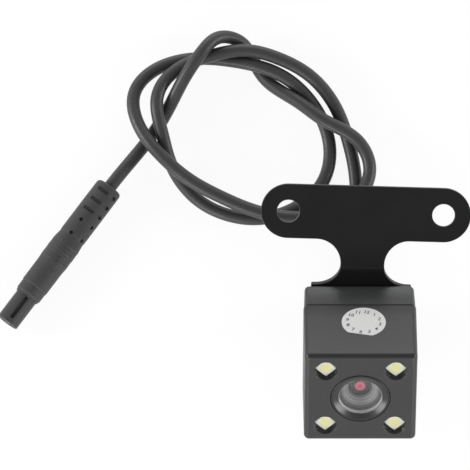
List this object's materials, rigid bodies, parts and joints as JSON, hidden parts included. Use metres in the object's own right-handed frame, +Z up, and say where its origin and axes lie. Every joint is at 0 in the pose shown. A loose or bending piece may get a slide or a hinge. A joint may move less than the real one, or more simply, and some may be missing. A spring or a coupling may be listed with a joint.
{
  "type": "backup camera",
  "caption": "Small square reversing camera with lens and lights in its front face, on a bent swivel bracket, with a coiled pigtail ending in a plug.",
  "frame": {"origin": "on the table, under the centre of the camera and bracket without the cable and plug", "axes": "+Z up from the table; the lens looks up and towards -Y, the cable leaves towards +Y, and the bracket wing runs along X"},
  "size_m": [0.1099, 0.0985, 0.0353],
  "materials": {
    "shell_plastic": "fine matt black ABS",
    "cover_plastic": "fine matt black ABS",
    "seal_rubber": "soft black rubber",
    "screw_steel": "plain steel",
    "label_vinyl": "white vinyl, satin",
    "bezel_plastic": "polished black",
    "lens_glass": "polished, coated",
    "barrel_metal": "satin grey",
    "pupil_glass": "red coating",
    "inner_plastic": "matt black",
    "filter_glass": "coated",
    "chip_ceramic": "satin",
    "board_green": "solder mask",
    "chip_black": "moulded epoxy",
    "header_nylon": "natural nylon",
    "lead_insulation": "PVC, four colours",
    "board_black": "black solder mask",
    "led_body": "white resin",
    "led_phosphor": "yellow gel",
    "window_clear": "polished",
    "pin_brass": "gold flash",
    "stem_metal": "turned, satin",
    "fastener_steel": "zinc plated",
    "bracket_paint": "satin black powder coat",
    "relief_rubber": "moulded rubber",
    "cable_jacket": "PVC jacket, satin black",
    "grip_rubber": "moulded soft PVC",
    "insert_plastic": "matt black nylon",
    "contact_brass": "gold flash"
  },
  "bodies": {
    "camera": {"front_shell": "shell_plastic", "rear_cover": "cover_plastic", "cover_gasket": "seal_rubber", "cover_screws": "screw_steel", "month_label": "label_vinyl", "lens_bezel": "bezel_plastic", "lens_seal": "seal_rubber", "front_lens": "lens_glass", "lens_barrel": "barrel_metal", "inner_lens": "pupil_glass", "lens_spacer": "inner_plastic", "ir_filter": "filter_glass", "lens_holder": "inner_plastic", "image_sensor": "chip_ceramic", "main_board": "board_green", "board_chips": "chip_black", "board_screws": "screw_steel", "wire_header": "header_nylon", "lead_wires": "lead_insulation", "led_board": "board_black", "led_packages": "led_body", "led_phosphors": "led_phosphor", "led_windows": "window_clear", "link_pins": "pin_brass", "gland_stem": "stem_metal", "gland_washer": "fastener_steel", "gland_nut": "fastener_steel", "strain_relief": "relief_rubber", "cable": "cable_jacket", "plug_grip": "grip_rubber", "plug_insert": "insert_plastic", "plug_contacts": "contact_brass"},
    "bracket": {"mount_bracket": "bracket_paint"}
  },
  "joints": [
    {"name": "bracket_swivel", "type": "hinge", "parent": "camera", "child": "bracket", "pos_m": [-0.00144, -0.00145, 0.00916], "axis": [0, -0.757, 0.6534], "range_deg": [-40, 40]}
  ]
}
